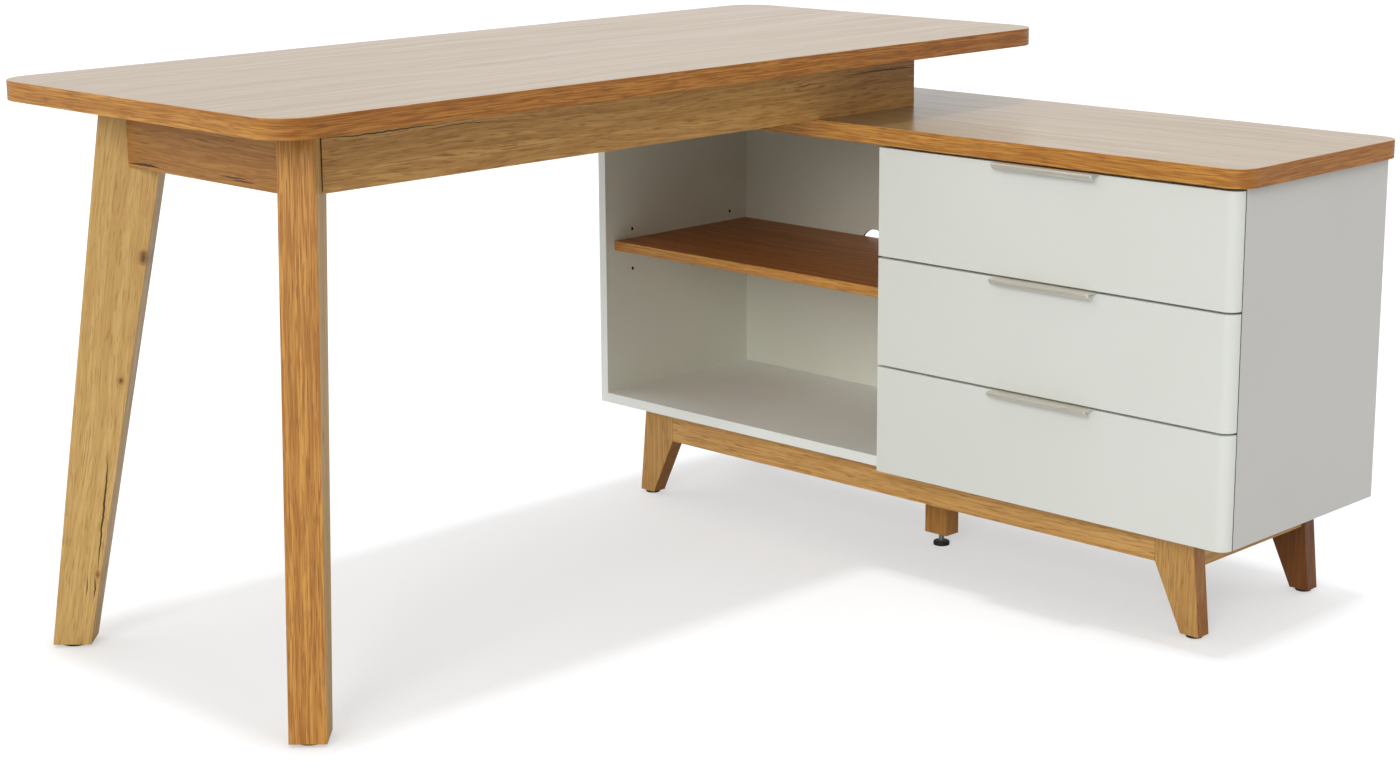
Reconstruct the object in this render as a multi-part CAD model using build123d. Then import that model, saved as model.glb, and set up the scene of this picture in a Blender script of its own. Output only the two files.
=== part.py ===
from build123d import *
import os
from math import sqrt

# Corner desk. X runs along the main desktop, from its legged end (-X) to the cabinet end (+X).
# Y runs from the sitting side (-Y) to the wall side (+Y), and Z up from the floor.
# The origin is the bottom centre of the whole desk. All sizes are in millimetres.

# Desktop
DESK_HEIGHT = 750.0
BOARD_THICKNESS = 25.0
DESKTOP_LENGTH = 1400.0
DESKTOP_DEPTH = 600.0
DESKTOP_CORNER_R = 50.0
BAND_THICKNESS = 1.5
BAND_EDGE_R = 0.5
DESKTOP_LEFT = -DESKTOP_LENGTH / 2
DESKTOP_UNDERSIDE = DESK_HEIGHT - BOARD_THICKNESS

# Rail frame under the desktop
RAIL_HEIGHT = 85.0
RAIL_THICKNESS = 22.0
RAIL_SETBACK = 105.0
FRAME_RIGHT = 529.0
RAIL_BOTTOM = DESKTOP_UNDERSIDE - RAIL_HEIGHT

# Tall legs: boards standing on the diagonals of the two left corners.
# Distances along the diagonal are counted inwards from the desktop's square corner.
LEG_THICKNESS = 46.0
LEG_OUTER_TOP = 140.0
LEG_OUTER_FOOT = 39.0
LEG_INNER_TOP = 213.0
LEG_INNER_FOOT = 89.0
LEG_JOINT_GAP = 1.5
LEG_EDGE_R = 1.0
GLIDE_HEIGHT = 4.0
DESK_GLIDE_R = 19.0
GLIDE_EDGE_R = 1.0

# Cabinet
CABINET_TOP_DEPTH = 385.0
CABINET_TOP_LENGTH = 1200.0
CABINET_TOP_CORNER_R = 30.0
PANEL = 15.0
PANEL_EDGE_R = 0.6
CARCASS_FRONT = 341.0
CARCASS_BACK = 687.0
CARCASS_END = 587.0
CARCASS_BOTTOM = 143.0
CABINET_TOP_Z = RAIL_BOTTOM
CARCASS_TOP = CABINET_TOP_Z - BOARD_THICKNESS
BACK_PANEL_X = 663.0
BACK_PANEL_THICKNESS = 5.0
GROOVE_DEPTH = 6.0
GROOVE_PLAY = 0.2
PARTITION_LEFT = -6.0
CABLE_HOLE_R = 30.0
CABLE_HOLE_Y = 292.0
CABLE_HOLE_Z = 383.0

# Shelf in the open bay
SHELF_SETBACK = 18.0
SHELF_SIDE_PLAY = 1.0
SHELF_BACK_PLAY = 3.0
PIN_R = 2.5
PIN_LENGTH = 16.0
PIN_HOLE_DEPTH = 8.5
PIN_COLUMNS = (399.0, 623.0)
PIN_PITCH = 32.0
PIN_Z = 384.0

# Plinth frame and short legs
PLINTH_BOTTOM = 95.0
PLINTH_THICKNESS = 18.0
PLINTH_FRONT = 366.0
SHORT_LEG_DEPTH = 25.0
SHORT_LEG_OUTER_TOP = 511.0
SHORT_LEG_OUTER_FOOT = 524.5
SHORT_LEG_INNER_TOP = 452.0
SHORT_LEG_INNER_FOOT = 495.5
SHORT_GLIDE_R = 11.0
CROSS_RAIL_Y = -6.0
POST_X = 471.0
POST_DEPTH = 28.0
POST_WIDTH = 40.0
POST_BOTTOM = 19.0

# Levelling foot under the post
FOOT_R = 12.0
FOOT_HEIGHT = 6.0
STEM_R = 4.0
STEM_LENGTH = 40.0
STEM_PLAY = 0.35
STEM_HOLE_DEPTH = 45.0

# Drawers
DRAWER_NAMES = ("bottom", "middle", "top")
DRAWER_PITCH = 157.0
FRONT_HEIGHT = 154.0
FRONT_THICKNESS = 18.0
FRONT_X = 321.0
FRONT_LEFT = -5.0
FRONT_ROUND_R = 16.0
FRONT_EDGE_R = 0.8
BOX_LENGTH = 300.0
BOX_SIDE = 12.0
BOX_SIDE_BOTTOM = 18.0
BOX_SIDE_HEIGHT = 110.0
BOX_BOTTOM_RISE = 8.0
BOX_BOTTOM_THICKNESS = 4.0
BOX_GROOVE = 5.0
RUNNER_GAP = 13.0
RUNNER_LENGTH = 300.0
RUNNER_RISE = 58.0
RUNNER_SHEET = 1.5

# Edge pulls
PULL_LENGTH = 164.0
PULL_SHEET = 1.4
PULL_REACH = 20.0
PULL_FLANGE = 16.0
PULL_LIP_DROP = 7.5
PULL_LIP_RETURN = 7.0
PULL_NOSE_R = 1.2

# Fasteners
DRILL_PLAY = 0.1
SCREW_R = 2.0
SCREW_HEAD_R = 4.0
SCREW_HEAD_HEIGHT = 2.5
RECESS_WIDTH = 2.2
RECESS_DEPTH = 1.5
BRACKET_SIZE = 20.0
BRACKET_SHEET = 2.0
CAM_R = 7.5
CAM_DEPTH = 12.0
CAM_EDGE = 34.0
CAM_COLUMNS = (391.0, 601.0)


def block(x0, x1, y0, y1, z0, z1):
    """A box between two opposite corners, whichever way round they are given."""
    size = (abs(x1 - x0), abs(y1 - y0), abs(z1 - z0))
    return Pos((x0 + x1) / 2, (y0 + y1) / 2, (z0 + z1) / 2) * Box(*size)


def prism(points, z0, z1):
    """An outline in plan, raised from z0 to z1."""
    face = make_face(Polyline(*points, close=True))
    return Pos(0, 0, z0) * extrude(face, amount=z1 - z0)


def rod(start, direction, radius, length):
    """A round bar from a point along a direction."""
    bar = extrude(Circle(radius), amount=length)
    return Plane(origin=start, z_dir=direction).location * bar


def mirrored_y(shape, about=0.0):
    """The mirror image of a shape across a plane that faces along Y."""
    return mirror(shape, about=Plane.XZ.offset(-about))


def group(solids):
    """Several separate solids as one named piece."""
    return Compound(children=list(solids))


def eased(shape, axis, radius):
    """A shape with its straight edges along one axis slightly rounded."""
    return fillet(shape.edges().filter_by(axis), radius)


# ---- fasteners ----------------------------------------------------------------------------

cutters = []


def screw(head, direction, length):
    """A countersunk wood screw whose flat head lies at a point; it also drills its hole."""
    profile = make_face(Polyline(
        (0, 0), (SCREW_HEAD_R, 0), (SCREW_R, SCREW_HEAD_HEIGHT), (SCREW_R, length - SCREW_R),
        (0, length), close=True))
    body = revolve(Plane.XZ * profile, axis=Axis.Z)
    recess = Pos(0, 0, RECESS_DEPTH / 2) * Box(RECESS_WIDTH, RECESS_WIDTH, RECESS_DEPTH)
    place = Plane(origin=head, z_dir=direction).location
    shank = extrude(Circle(SCREW_R + DRILL_PLAY), amount=length + DRILL_PLAY)
    sink = Cone(SCREW_HEAD_R + DRILL_PLAY, SCREW_R + DRILL_PLAY, SCREW_HEAD_HEIGHT)
    cutters.append(place * (shank + Pos(0, 0, SCREW_HEAD_HEIGHT / 2) * sink))
    return place * (body - recess)


def bolt(head, direction, radius, length, head_r, head_height):
    """A bolt whose head stands proud of a point; its shank drills its hole."""
    dx, dy, dz = Vector(*direction).normalized()
    back = (head[0] - dx * head_height, head[1] - dy * head_height, head[2] - dz * head_height)
    cutters.append(rod(head, direction, radius + DRILL_PLAY, length + DRILL_PLAY))
    return rod(back, direction, head_r, head_height) + rod(head, direction, radius, length)


def drilled(shape):
    """A wooden piece with the holes of every fastener that reaches it."""
    box = shape.bounding_box()
    for cutter in cutters:
        other = cutter.bounding_box()
        apart = any((
            other.min.X > box.max.X, other.max.X < box.min.X,
            other.min.Y > box.max.Y, other.max.Y < box.min.Y,
            other.min.Z > box.max.Z, other.max.Z < box.min.Z))
        if not apart:
            shape = shape - cutter
    return shape


# ---- boards with an edge band ---------------------------------------------------------------

def banded_board(x0, x1, y0, y1, top, corner_r):
    """A board and the band around its edge."""
    centre = Pos((x0 + x1) / 2, (y0 + y1) / 2, top - BOARD_THICKNESS)
    length, depth = x1 - x0, y1 - y0
    inner = RectangleRounded(
        length - 2 * BAND_THICKNESS, depth - 2 * BAND_THICKNESS, corner_r - BAND_THICKNESS)
    outer = extrude(RectangleRounded(length, depth, corner_r), amount=BOARD_THICKNESS)
    outer = fillet(outer.edges().group_by(Axis.Z)[-1] + outer.edges().group_by(Axis.Z)[0], BAND_EDGE_R)
    board = extrude(inner, amount=BOARD_THICKNESS)
    return centre * board, centre * (outer - board)


# ---- main desk --------------------------------------------------------------------------------

def corner_point(along_x, along_y):
    """A point in plan counted from the desktop's front left corner."""
    return (DESKTOP_LEFT + along_x, along_y)


def tall_leg():
    """The front left leg, standing on the corner's diagonal."""
    foot, shoulder, top = GLIDE_HEIGHT, RAIL_BOTTOM, DESKTOP_UNDERSIDE
    outline = Polyline(
        (LEG_OUTER_FOOT, foot), (LEG_INNER_FOOT, foot), (LEG_INNER_TOP, shoulder),
        (LEG_INNER_TOP, top), (LEG_OUTER_TOP, top), close=True)
    diagonal = Plane(origin=(DESKTOP_LEFT, 0, 0), x_dir=(1, 1, 0), z_dir=(1, -1, 0))
    leg = extrude(diagonal * make_face(outline), amount=LEG_THICKNESS / 2, both=True)
    upright = leg.faces().filter_by(lambda f: abs(f.normal_at().Z) < 0.5)
    sides = upright.filter_by(lambda f: abs(f.normal_at().X + f.normal_at().Y) < 0.01)
    long_edges = [e for f in sides for e in f.edges() if abs(e.tangent_at(0).Z) > 0.5]
    return fillet(long_edges, LEG_EDGE_R)


def leg_glide():
    """The pad under the front tall leg."""
    middle = (LEG_OUTER_FOOT + LEG_INNER_FOOT) / 2 / sqrt(2)
    x, y = corner_point(middle, middle)
    pad = extrude(Circle(DESK_GLIDE_R), amount=GLIDE_HEIGHT)
    pad = fillet(pad.edges().filter_by(GeomType.CIRCLE), GLIDE_EDGE_R)
    return Pos(x, y, 0) * pad


def rails():
    """The four rails; their left ends are cut to meet the sides of the diagonal legs."""
    step = LEG_THICKNESS / sqrt(2) + LEG_JOINT_GAP * sqrt(2)
    near, far = RAIL_SETBACK, RAIL_SETBACK + RAIL_THICKNESS
    right = FRAME_RIGHT - DESKTOP_LEFT
    depth = DESKTOP_DEPTH
    front = [(near + step, near), (right, near), (right, far), (far + step, far)]
    left = [(near, near + step), (far, far + step), (far, depth - far - step), (near, depth - near - step)]
    apron_front = prism([corner_point(*p) for p in front], RAIL_BOTTOM, DESKTOP_UNDERSIDE)
    end_left = prism([corner_point(*p) for p in left], RAIL_BOTTOM, DESKTOP_UNDERSIDE)
    end_right = block(
        FRAME_RIGHT - RAIL_THICKNESS, FRAME_RIGHT, far, depth - far, RAIL_BOTTOM, DESKTOP_UNDERSIDE)
    return {
        "apron_front": apron_front,
        "apron_back": mirrored_y(apron_front, depth / 2),
        "end_rail_left": end_left,
        "end_rail_right": end_right,
    }


BLOCK_REACH = 40.0
BLOCK_BOTTOM = RAIL_BOTTOM + 15.0
BLOCK_TOP = DESKTOP_UNDERSIDE - 10.0
LEG_BOLT_R = 4.0
LEG_BOLT_GRIP = 45.0
LEG_BOLT_HEAD_R = 7.5
LEG_BOLT_HEAD = 6.0
LEG_BOLT_RISES = (18.0, 42.0)
BLOCK_SCREW_LENGTH = 34.0


def corner_joint():
    """The front left corner block, the bolts that draw the leg to it and its screws."""
    start = LEG_INNER_TOP * sqrt(2)
    inner = RAIL_SETBACK + RAIL_THICKNESS
    end = start + BLOCK_REACH
    outline = [(start - inner, inner), (end - inner, inner), (inner, end - inner), (inner, start - inner)]
    brace = prism([corner_point(*p) for p in outline], BLOCK_BOTTOM, BLOCK_TOP)
    hx, hy = corner_point(end / 2, end / 2)
    bolts = [
        bolt((hx, hy, BLOCK_BOTTOM + rise), (-1, -1, 0), LEG_BOLT_R,
             LEG_BOLT_GRIP + BLOCK_REACH / sqrt(2), LEG_BOLT_HEAD_R, LEG_BOLT_HEAD)
        for rise in LEG_BOLT_RISES]
    screws = []
    for rise in LEG_BOLT_RISES:
        z = BLOCK_BOTTOM + rise
        x, y = corner_point(end - inner - BLOCK_REACH / 2, inner + BLOCK_REACH / 2)
        screws.append(screw((x, y, z), (0, -1, 0), BLOCK_SCREW_LENGTH))
        x, y = corner_point(inner + BLOCK_REACH / 2, end - inner - BLOCK_REACH / 2)
        screws.append(screw((x, y, z), (-1, 0, 0), BLOCK_SCREW_LENGTH))
    return brace, bolts, screws


GLUE_BLOCK = 40.0


def right_corner_block():
    """The triangular block in the frame's front right corner, with its screws."""
    x = FRAME_RIGHT - RAIL_THICKNESS
    y = RAIL_SETBACK + RAIL_THICKNESS
    brace = prism([(x, y), (x - GLUE_BLOCK, y), (x, y + GLUE_BLOCK)], BLOCK_BOTTOM, BLOCK_TOP)
    screws = []
    for rise in LEG_BOLT_RISES:
        z = BLOCK_BOTTOM + rise
        half = GLUE_BLOCK / 2
        screws.append(screw((x - half, y + half, z), (0, -1, 0), BLOCK_SCREW_LENGTH))
    return brace, screws


BRACKET_XS = (-440.0, -150.0, 140.0, 430.0)
BRACKET_SCREW = 14.0


def desktop_bracket(x):
    """A steel angle between the front apron and the desktop, with its two screws."""
    face = RAIL_SETBACK + RAIL_THICKNESS
    half = BRACKET_SIZE / 2
    upright = block(x - half, x + half, face, face + BRACKET_SHEET,
                    DESKTOP_UNDERSIDE - BRACKET_SIZE, DESKTOP_UNDERSIDE)
    flange = block(x - half, x + half, face, face + BRACKET_SIZE,
                   DESKTOP_UNDERSIDE - BRACKET_SHEET, DESKTOP_UNDERSIDE)
    side = screw((x, face + BRACKET_SHEET + SCREW_HEAD_HEIGHT, DESKTOP_UNDERSIDE - half - BRACKET_SHEET),
                 (0, -1, 0), BRACKET_SCREW)
    up = screw((x, face + half + BRACKET_SHEET, DESKTOP_UNDERSIDE - BRACKET_SHEET - SCREW_HEAD_HEIGHT),
               (0, 0, 1), BRACKET_SCREW)
    return upright + flange, [side, up]


FRAME_BOLT_XS = (400.0, 490.0)
FRAME_BOLT_R = 3.0
FRAME_BOLT_LENGTH = 50.0
FRAME_BOLT_HEAD_R = 6.0
FRAME_BOLT_HEAD = 3.5


def frame_bolts():
    """Bolts that come up through the cabinet top into the two aprons."""
    middle = RAIL_SETBACK + RAIL_THICKNESS / 2
    return [
        bolt((x, y, CARCASS_TOP), (0, 0, 1), FRAME_BOLT_R, FRAME_BOLT_LENGTH,
             FRAME_BOLT_HEAD_R, FRAME_BOLT_HEAD)
        for x in FRAME_BOLT_XS for y in (middle, DESKTOP_DEPTH - middle)]


def main_desk():
    """Every piece of the desk proper, and the fasteners it shares with the cabinet."""
    board, band = banded_board(
        DESKTOP_LEFT, -DESKTOP_LEFT, 0, DESKTOP_DEPTH, DESK_HEIGHT, DESKTOP_CORNER_R)
    half_depth = DESKTOP_DEPTH / 2
    leg = tall_leg()
    glide = leg_glide()
    brace, bolts, screws = corner_joint()
    right_brace, right_screws = right_corner_block()
    screws += right_screws
    brackets = []
    for x in BRACKET_XS:
        bracket, bracket_screws = desktop_bracket(x)
        brackets.append(bracket)
        screws += bracket_screws
    cutters.extend([mirrored_y(cutter, half_depth) for cutter in cutters])
    both = lambda solids: group(list(solids) + [mirrored_y(s, half_depth) for s in solids])
    pieces = {
        "desktop_board": board,
        "desktop_edge_band": band,
        "desk_leg_front": leg,
        "desk_leg_back": mirrored_y(leg, half_depth),
        "desk_leg_glides": both([glide]),
        "corner_blocks": both([drilled(brace), drilled(right_brace)]),
        "leg_bolts": both(bolts),
        "desktop_brackets": both([drilled(b) for b in brackets]),
        "frame_bolts": group(frame_bolts()),
    }
    pieces.update(rails())
    return pieces, [*screws, *[mirrored_y(s, half_depth) for s in screws]]


# ---- cabinet ----------------------------------------------------------------------------------

def back_groove(y0, y1, z0, z1):
    """The slot in a panel that takes an edge of the back panel."""
    return block(BACK_PANEL_X - GROOVE_PLAY, BACK_PANEL_X + BACK_PANEL_THICKNESS + GROOVE_PLAY, y0, y1, z0, z1)


def side_panel():
    """The end panel on the +Y side."""
    panel = block(CARCASS_FRONT, CARCASS_BACK, CARCASS_END - PANEL, CARCASS_END, CARCASS_BOTTOM, CARCASS_TOP)
    panel = eased(panel, Axis.Z, PANEL_EDGE_R)
    inner = CARCASS_END - PANEL
    return panel - back_groove(inner, inner + GROOVE_DEPTH + GROOVE_PLAY, CARCASS_BOTTOM, CARCASS_TOP)


def pin_positions():
    """The wall, the depth and the direction of each shelf pin."""
    walls = ((CARCASS_END - PANEL, 1), (PARTITION_LEFT, -1))
    return [(x, y, into) for y, into in walls for x in PIN_COLUMNS]


def cam_fittings():
    """Cams and their bolts: at the top of each upright, and at both ends of the bottom panel."""
    cams, bolts = [], []
    inner = CARCASS_END - PANEL
    uprights = (
        (inner, 1, inner + PANEL / 2),
        (-inner, -1, -inner - PANEL / 2),
        (PARTITION_LEFT - PANEL, 1, PARTITION_LEFT - PANEL / 2))
    for x in CAM_COLUMNS:
        for face, into, middle in uprights:
            z = CARCASS_TOP - CAM_EDGE
            cams.append(((x, face, z), (0, into, 0)))
            bolts.append(((x, middle, z + CAM_R + 1), (0, 0, 1), CAM_EDGE - CAM_R - 1 + 12))
        for end in (1, -1):
            y = end * (inner - CAM_EDGE)
            cams.append(((x, y, CARCASS_BOTTOM), (0, 0, 1)))
            start = (x, y + end * (CAM_R + 1), CARCASS_BOTTOM + PANEL / 2)
            bolts.append((start, (0, end, 0), CAM_EDGE - CAM_R - 1 + 10))
    bolt_r = 3.0
    for start, direction, length in bolts:
        cutters.append(rod(start, direction, bolt_r + DRILL_PLAY, length + DRILL_PLAY))
    for start, direction in cams:
        cutters.append(rod(start, direction, CAM_R + DRILL_PLAY, CAM_DEPTH + DRILL_PLAY))
    slot = Pos(0, 0, 1) * Box(CAM_R, 1.6, 2)
    cross = slot + Rot(0, 0, 90) * slot
    discs = [
        rod(s, d, CAM_R, CAM_DEPTH) - Plane(origin=s, z_dir=d).location * cross for s, d in cams]
    return discs, [rod(s, d, bolt_r, n) for s, d, n in bolts]


def cabinet():
    """The carcass with its shelf and knock-down fittings."""
    front_x = DESKTOP_LEFT + DESKTOP_LENGTH - CABINET_TOP_DEPTH
    half = CABINET_TOP_LENGTH / 2
    top, band = banded_board(front_x, -DESKTOP_LEFT, -half, half, CABINET_TOP_Z, CABINET_TOP_CORNER_R)
    left = side_panel()
    inner = CARCASS_END - PANEL
    floor = CARCASS_BOTTOM + PANEL
    bottom = block(CARCASS_FRONT, CARCASS_BACK, -inner, inner, CARCASS_BOTTOM, floor)
    bottom = bottom - back_groove(-inner, inner, floor - GROOVE_DEPTH - GROOVE_PLAY, floor)
    partition = block(CARCASS_FRONT, BACK_PANEL_X, PARTITION_LEFT - PANEL, PARTITION_LEFT, floor, CARCASS_TOP)
    back = block(BACK_PANEL_X, BACK_PANEL_X + BACK_PANEL_THICKNESS, -inner - GROOVE_DEPTH,
                 inner + GROOVE_DEPTH, floor - GROOVE_DEPTH, CARCASS_TOP)
    hole = rod((CARCASS_FRONT, CABLE_HOLE_Y, CABLE_HOLE_Z), (1, 0, 0), CABLE_HOLE_R, DESKTOP_LENGTH)
    shelf_bottom = PIN_Z + PIN_R
    shelf = block(CARCASS_FRONT + SHELF_SETBACK, BACK_PANEL_X - SHELF_BACK_PLAY,
                  PARTITION_LEFT + SHELF_SIDE_PLAY, inner - SHELF_SIDE_PLAY,
                  shelf_bottom, shelf_bottom + PANEL)
    shelf = eased(shelf, Axis.Y, PANEL_EDGE_R)
    pins = []
    for x, y, into in pin_positions():
        for step in (-1, 0, 1):
            wall = (x, y, PIN_Z + step * PIN_PITCH)
            cutters.append(rod(wall, (0, into, 0), PIN_R + DRILL_PLAY, PIN_HOLE_DEPTH))
        start = (x, y + into * PIN_LENGTH / 2, PIN_Z)
        pins.append(rod(start, (0, -into, 0), PIN_R, PIN_LENGTH))
    discs, cam_bolts = cam_fittings()
    return {
        "cabinet_top_board": top,
        "cabinet_top_edge_band": band,
        "side_panel_left": left,
        "side_panel_right": mirrored_y(left),
        "bottom_panel": bottom,
        "partition": partition,
        "back_panel": back - hole,
        "shelf_board": shelf,
        "shelf_pins": group(pins),
        "cam_discs": group(discs),
        "cam_bolts": group(cam_bolts),
    }


# ---- plinth -----------------------------------------------------------------------------------

def short_leg():
    """The front leg on the +Y side: a flat board, straight outside and tapered inside."""
    outline = [
        (SHORT_LEG_OUTER_TOP, CARCASS_BOTTOM), (SHORT_LEG_INNER_TOP, CARCASS_BOTTOM),
        (SHORT_LEG_INNER_TOP, PLINTH_BOTTOM), (SHORT_LEG_INNER_FOOT, GLIDE_HEIGHT),
        (SHORT_LEG_OUTER_FOOT, GLIDE_HEIGHT)]
    face = make_face(Polyline(*outline, close=True))
    leg = extrude(Plane.YZ.offset(PLINTH_FRONT) * face, amount=SHORT_LEG_DEPTH)
    outer = [e for e in leg.edges() if abs(e.tangent_at(0).Z) > 0.8 and e.center().Z < CARCASS_BOTTOM]
    return fillet(outer, LEG_EDGE_R)


PLINTH_SCREW_LENGTH = 35.0
PLINTH_SCREW_SINK = 26.0


def plinth():
    """The legs, the rails between them and the post in the middle."""
    middle_x = (CARCASS_FRONT + CARCASS_BACK) / 2
    leg = short_leg()
    back_leg = mirror(leg, about=Plane.YZ.offset(middle_x))
    legs = {
        "cabinet_leg_front_left": leg,
        "cabinet_leg_front_right": mirrored_y(leg),
        "cabinet_leg_back_left": back_leg,
        "cabinet_leg_back_right": mirrored_y(back_leg),
    }
    inner = SHORT_LEG_INNER_TOP
    front = block(PLINTH_FRONT, PLINTH_FRONT + PLINTH_THICKNESS, -inner, inner, PLINTH_BOTTOM, CARCASS_BOTTOM)
    back = mirror(front, about=Plane.YZ.offset(middle_x))
    end_x0 = PLINTH_FRONT + SHORT_LEG_DEPTH
    end_x1 = 2 * middle_x - end_x0
    end = block(end_x0, end_x1, SHORT_LEG_OUTER_TOP - PLINTH_THICKNESS, SHORT_LEG_OUTER_TOP,
                PLINTH_BOTTOM, CARCASS_BOTTOM)
    cross = block(
        PLINTH_FRONT + PLINTH_THICKNESS, 2 * middle_x - PLINTH_FRONT - PLINTH_THICKNESS,
        CROSS_RAIL_Y - PLINTH_THICKNESS / 2, CROSS_RAIL_Y + PLINTH_THICKNESS / 2,
        PLINTH_BOTTOM, CARCASS_BOTTOM)
    half_x, half_y = POST_DEPTH / 2, POST_WIDTH / 2
    post = block(POST_X - half_x, POST_X + half_x, CROSS_RAIL_Y - half_y, CROSS_RAIL_Y + half_y,
                 POST_BOTTOM, PLINTH_BOTTOM)
    post = post - rod((POST_X, CROSS_RAIL_Y, POST_BOTTOM), (0, 0, 1), STEM_R + STEM_PLAY, STEM_HOLE_DEPTH)
    foot_y = (SHORT_LEG_OUTER_FOOT + SHORT_LEG_INNER_FOOT) / 2
    foot_x = PLINTH_FRONT + SHORT_LEG_DEPTH / 2
    pad = extrude(Circle(SHORT_GLIDE_R), amount=GLIDE_HEIGHT)
    pad = fillet(pad.edges().filter_by(GeomType.CIRCLE), GLIDE_EDGE_R)
    pads = [
        Pos(x, y, 0) * pad for x in (foot_x, 2 * middle_x - foot_x) for y in (foot_y, -foot_y)]
    sink = PLINTH_BOTTOM + PLINTH_SCREW_SINK
    rail_x = PLINTH_FRONT + PLINTH_THICKNESS / 2
    spots = [(x, y) for x in (rail_x, 2 * middle_x - rail_x) for y in (-inner * 2 / 3, inner * 2 / 3)]
    spots += [(rail_x, -PANEL), (2 * middle_x - rail_x, -PANEL)]
    screws = []
    for x, y in spots:
        cutters.append(rod((x, y, PLINTH_BOTTOM), (0, 0, 1), SCREW_HEAD_R + DRILL_PLAY, PLINTH_SCREW_SINK))
        screws.append(screw((x, y, sink), (0, 0, 1), PLINTH_SCREW_LENGTH))
    return {
        **legs,
        "plinth_rail_front": front,
        "plinth_rail_back": back,
        "plinth_rail_left": end,
        "plinth_rail_right": mirrored_y(end),
        "plinth_cross_rail": cross,
        "centre_support_post": post,
        "cabinet_leg_glides": group(pads),
    }, screws


def levelling_foot():
    """The threaded stem and the disc of the centre foot, at its set height."""
    disc = extrude(Circle(FOOT_R), amount=FOOT_HEIGHT)
    disc = fillet(disc.edges().group_by(Axis.Z)[-1], FOOT_HEIGHT / 3)
    place = Pos(POST_X, CROSS_RAIL_Y, 0)
    return {
        "levelling_foot_disc": place * disc,
        "levelling_foot_stem": place * Pos(0, 0, FOOT_HEIGHT) * extrude(Circle(STEM_R), amount=STEM_LENGTH),
    }


# ---- drawers ----------------------------------------------------------------------------------

BAY_RIGHT = -(CARCASS_END - PANEL)
BAY_LEFT = PARTITION_LEFT - PANEL
BOX_BACK_X = FRONT_X + FRONT_THICKNESS + BOX_LENGTH
DRAWER_MIDDLE = (BAY_LEFT + BAY_RIGHT) / 2


def runner_profile(outline, bottom, mirror_wall):
    """Extrude a channel drawn as (distance from the wall, height) rectangles along X."""
    wall = BAY_LEFT if mirror_wall else BAY_RIGHT
    sign = -1 if mirror_wall else 1
    centre = bottom + RUNNER_RISE
    bars = [
        block(CARCASS_FRONT + 2, CARCASS_FRONT + 2 + RUNNER_LENGTH, wall + sign * w0, wall + sign * w1,
              centre + v0, centre + v1)
        for w0, w1, v0, v1 in outline]
    channel = bars[0]
    for bar in bars[1:]:
        channel = channel + bar
    return channel


def cabinet_channel(bottom, mirror_wall):
    """The outer C channel, screwed to the carcass."""
    s, tall, lip, hook = RUNNER_SHEET, 17.0, 9.0, 10.5
    outline = [
        (0, s, -tall, tall), (0, lip, tall - s, tall), (0, lip, -tall, s - tall),
        (lip - s, lip, hook, tall), (lip - s, lip, -tall, -hook)]
    return runner_profile(outline, bottom, mirror_wall)


def drawer_channel(bottom, mirror_wall):
    """The inner channel, screwed to the drawer side and captured in the outer one."""
    s, wing, leg = RUNNER_SHEET, 15.0, 8.0
    outline = [
        (2.5, 2.5 + s, -wing, wing), (2.5, RUNNER_GAP, leg - s, leg), (2.5, RUNNER_GAP, -leg, s - leg),
        (RUNNER_GAP - s, RUNNER_GAP, -leg, leg)]
    return runner_profile(outline, bottom, mirror_wall)


def edge_pull(top):
    """A folded pull that hooks over the front's upper edge and curls under at its nose."""
    back = FRONT_X + FRONT_THICKNESS
    nose = FRONT_X - PULL_REACH
    s = PULL_SHEET
    outline = [
        (back + s, top - PULL_FLANGE), (back + s, top + s), (nose, top + s),
        (nose, top - s), (nose + PULL_LIP_RETURN, top - PULL_LIP_DROP),
        (nose + PULL_LIP_RETURN + s, top - PULL_LIP_DROP + s), (nose + s * 1.5, top - s * 0.8),
        (nose + s * 1.5, top), (back, top), (back, top - PULL_FLANGE)]
    face = make_face(Polyline(*outline, close=True))
    start = DRAWER_MIDDLE + PULL_LENGTH / 2
    pull = extrude(Plane.XZ.offset(-start) * face, amount=PULL_LENGTH)
    bends = pull.edges().filter_by(Axis.Y).filter_by_position(Axis.X, nose - 0.1, nose + 0.1)
    pull = fillet(bends, PULL_NOSE_R)
    corner = 2.5
    for y, sign in ((start, -1), (start - PULL_LENGTH, 1)):
        bevel = prism([(nose - 1, y - sign), (nose + corner, y - sign), (nose - 1, y + sign * (corner + 1))],
                      top - PULL_FLANGE, top + 2 * s)
        pull = pull - bevel
    return pull


PULL_SCREW_OFFSET = 60.0
PULL_SCREW_R = 1.75
PULL_SCREW_LENGTH = 13.0
PULL_SCREW_DROP = 9.0


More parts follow.
